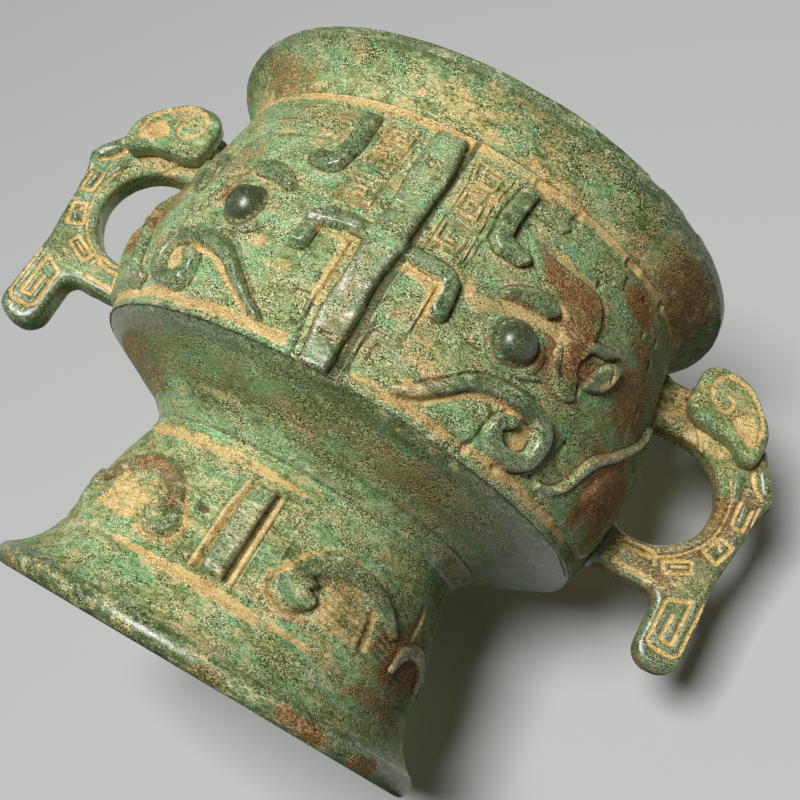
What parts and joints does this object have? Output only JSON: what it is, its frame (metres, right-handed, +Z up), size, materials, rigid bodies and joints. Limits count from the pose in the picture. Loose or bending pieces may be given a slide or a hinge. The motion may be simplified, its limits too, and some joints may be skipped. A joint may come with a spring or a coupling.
{
  "type": "bronze gui food vessel",
  "caption": "Round bronze food vessel with a flared rim, a belly with raised masks, animal-headed loop handles with hanging tabs, and a flared ring foot.",
  "frame": {"origin": "centre of the standing ring, on the surface that the vessel stands on", "axes": "+Z up the vessel's axis, handles on +X and -X, the front mask's ridge on -Y"},
  "size_m": [0.1856, 0.1312, 0.1285],
  "materials": {
    "vessel_bronze": "granular green patina with ochre earth in the recesses",
    "handle_bronze": "green patina worn on the edges, ochre earth in the grooves",
    "rivet_bronze": "dull green patina",
    "braze_bronze": "dull green and ochre patina"
  },
  "bodies": {
    "root": {"bowl": "vessel_bronze", "ring_foot": "vessel_bronze", "foot_braze": "braze_bronze", "left_handle": "handle_bronze", "right_handle": "handle_bronze", "left_front_ear": "handle_bronze", "left_rear_ear": "handle_bronze", "right_front_ear": "handle_bronze", "right_rear_ear": "handle_bronze", "left_upper_rivet": "rivet_bronze", "left_lower_rivet": "rivet_bronze", "right_upper_rivet": "rivet_bronze", "right_lower_rivet": "rivet_bronze"}
  },
  "joints": []
}
